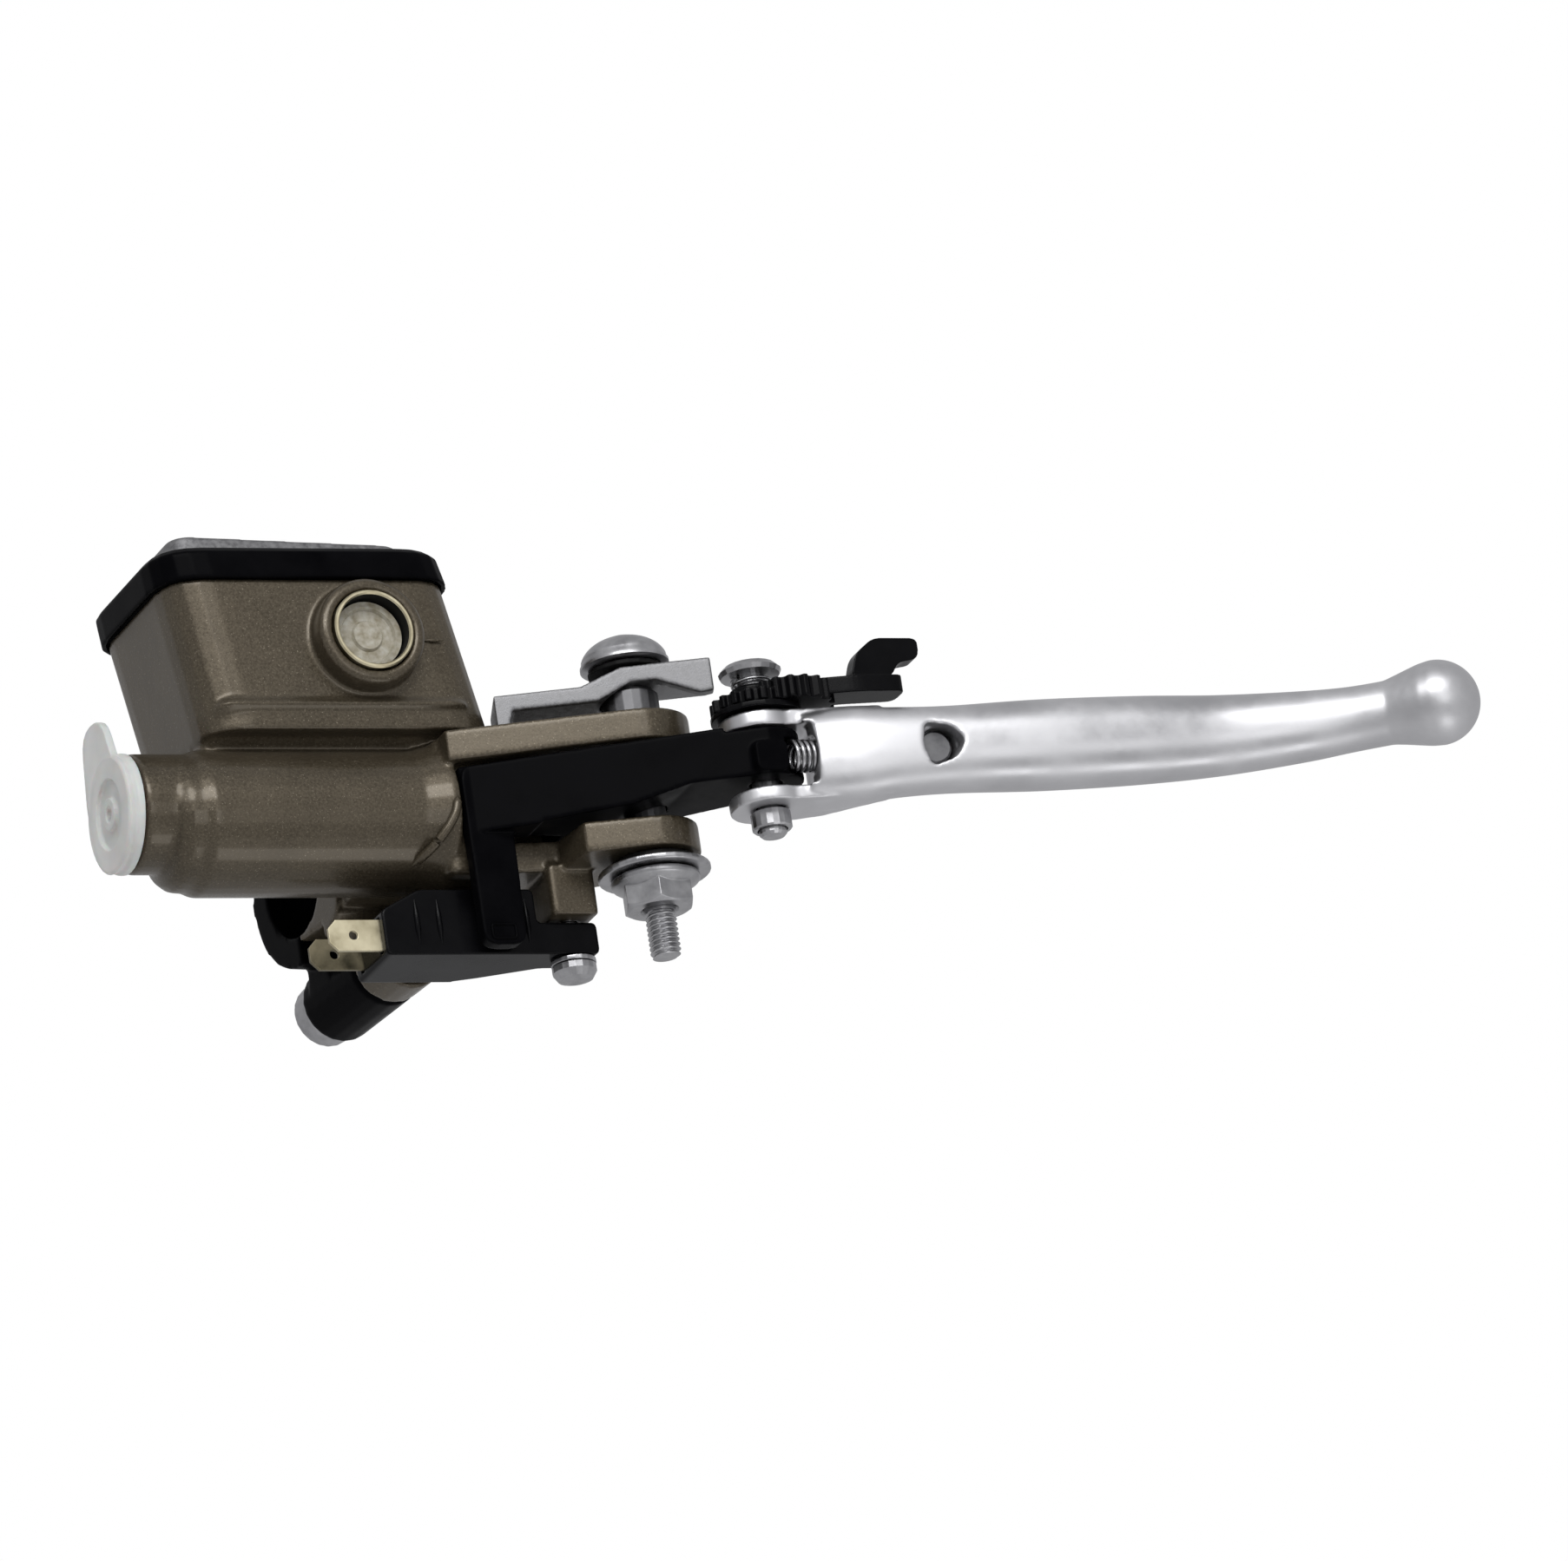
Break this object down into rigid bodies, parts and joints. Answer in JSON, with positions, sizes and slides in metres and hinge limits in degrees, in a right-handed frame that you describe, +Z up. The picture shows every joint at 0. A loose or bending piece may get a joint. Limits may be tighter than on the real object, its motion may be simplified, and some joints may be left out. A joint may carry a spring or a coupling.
{
  "type": "brake master cylinder",
  "caption": "Front brake master cylinder with fluid reservoir, handlebar clamp, brake-light switch and a ball-ended adjustable lever; pulling the lever pushes the piston down the bore",
  "frame": {"origin": "centre of the handlebar clamp's bore, midway along the clamp", "axes": "+X runs along the cylinder towards the lever's tip, +Y towards the rider, +Z up towards the reservoir lid"},
  "size_m": [0.2562, 0.1269, 0.0912],
  "materials": {
    "bronze_paint": "satin bronze paint with fine metallic grain",
    "black_satin": "satin black",
    "grey_zinc": "sandy cast grey",
    "zinc": "zinc plated",
    "steel": "plain spring steel",
    "aluminium": "machined",
    "polished_aluminium": "polished casting",
    "brass": "pale brass",
    "rubber": "matt black",
    "lens": "clear, faintly yellow",
    "milky_plastic": "translucent white",
    "black_plastic": "moulded, slightly glossy"
  },
  "bodies": {
    "housing": {"body_casting": "bronze_paint", "reservoir_lid": "black_satin", "lid_top_plate": "grey_zinc", "lid_screw_left": "zinc", "lid_screw_right": "zinc", "diaphragm": "rubber", "sight_ring": "brass", "sight_lens": "lens", "sight_seal": "rubber", "outlet_plug": "milky_plastic", "stop_washer": "steel", "circlip": "steel", "dust_boot": "rubber", "clamp_cap": "black_satin", "clamp_bolt_upper": "zinc", "clamp_bolt_lower": "zinc", "switch_housing": "black_plastic", "terminal_front": "brass", "terminal_back": "brass", "switch_screw": "zinc", "switch_washer": "zinc", "pivot_bush": "brass", "pivot_bolt": "zinc", "pivot_nut": "zinc", "pivot_washer": "zinc", "pivot_seal": "rubber", "head_washer": "rubber", "cover_plate": "grey_zinc", "plate_spacer": "zinc"},
    "piston_group": {"piston": "aluminium", "primary_cup": "rubber", "secondary_cup": "rubber", "return_spring": "steel"},
    "plunger_group": {"switch_plunger": "black_plastic"},
    "lever_group": {"lever_arm": "black_satin", "blade_screw": "zinc", "blade_nut": "zinc", "click_spring": "steel", "blade_spring": "steel"},
    "blade_group": {"lever_blade": "polished_aluminium", "fork_washer": "zinc", "reach_screw": "steel"},
    "adjuster_group": {"adjuster_cam": "black_plastic"}
  },
  "joints": [
    {"name": "lever_pull", "type": "hinge", "parent": "housing", "child": "lever_group", "pos_m": [0.043, -0.049, 0], "axis": [0, 0, 1], "range_deg": [0, 15], "stiffness_Nm_per_rad": 0.4, "springref_deg": -20.05},
    {"name": "piston_stroke", "type": "slide", "parent": "housing", "child": "piston_group", "axis": [-1, 0, 0], "range_m": [0, 0.006], "deforming": ["return_spring"]},
    {"name": "adjuster_turn", "type": "hinge", "parent": "lever_group", "child": "adjuster_group", "pos_m": [0.062, -0.064, 0], "axis": [0, 0, 1], "range_deg": [-60, 0]},
    {"name": "blade_reach", "type": "hinge", "parent": "lever_group", "child": "blade_group", "pos_m": [0.062, -0.064, 0], "axis": [0, 0, 1], "range_deg": [0, 8]},
    {"name": "plunger_slide", "type": "slide", "parent": "housing", "child": "plunger_group", "axis": [0, -1, 0], "range_m": [0, 0.002]}
  ],
  "couplings": [
    {"joint": "piston_stroke", "follows": "lever_pull", "m_per_rad": 0.0195},
    {"joint": "blade_reach", "follows": "adjuster_turn", "ratio": -0.12},
    {"joint": "plunger_slide", "follows": "lever_pull", "m_per_rad": 0.0074}
  ]
}
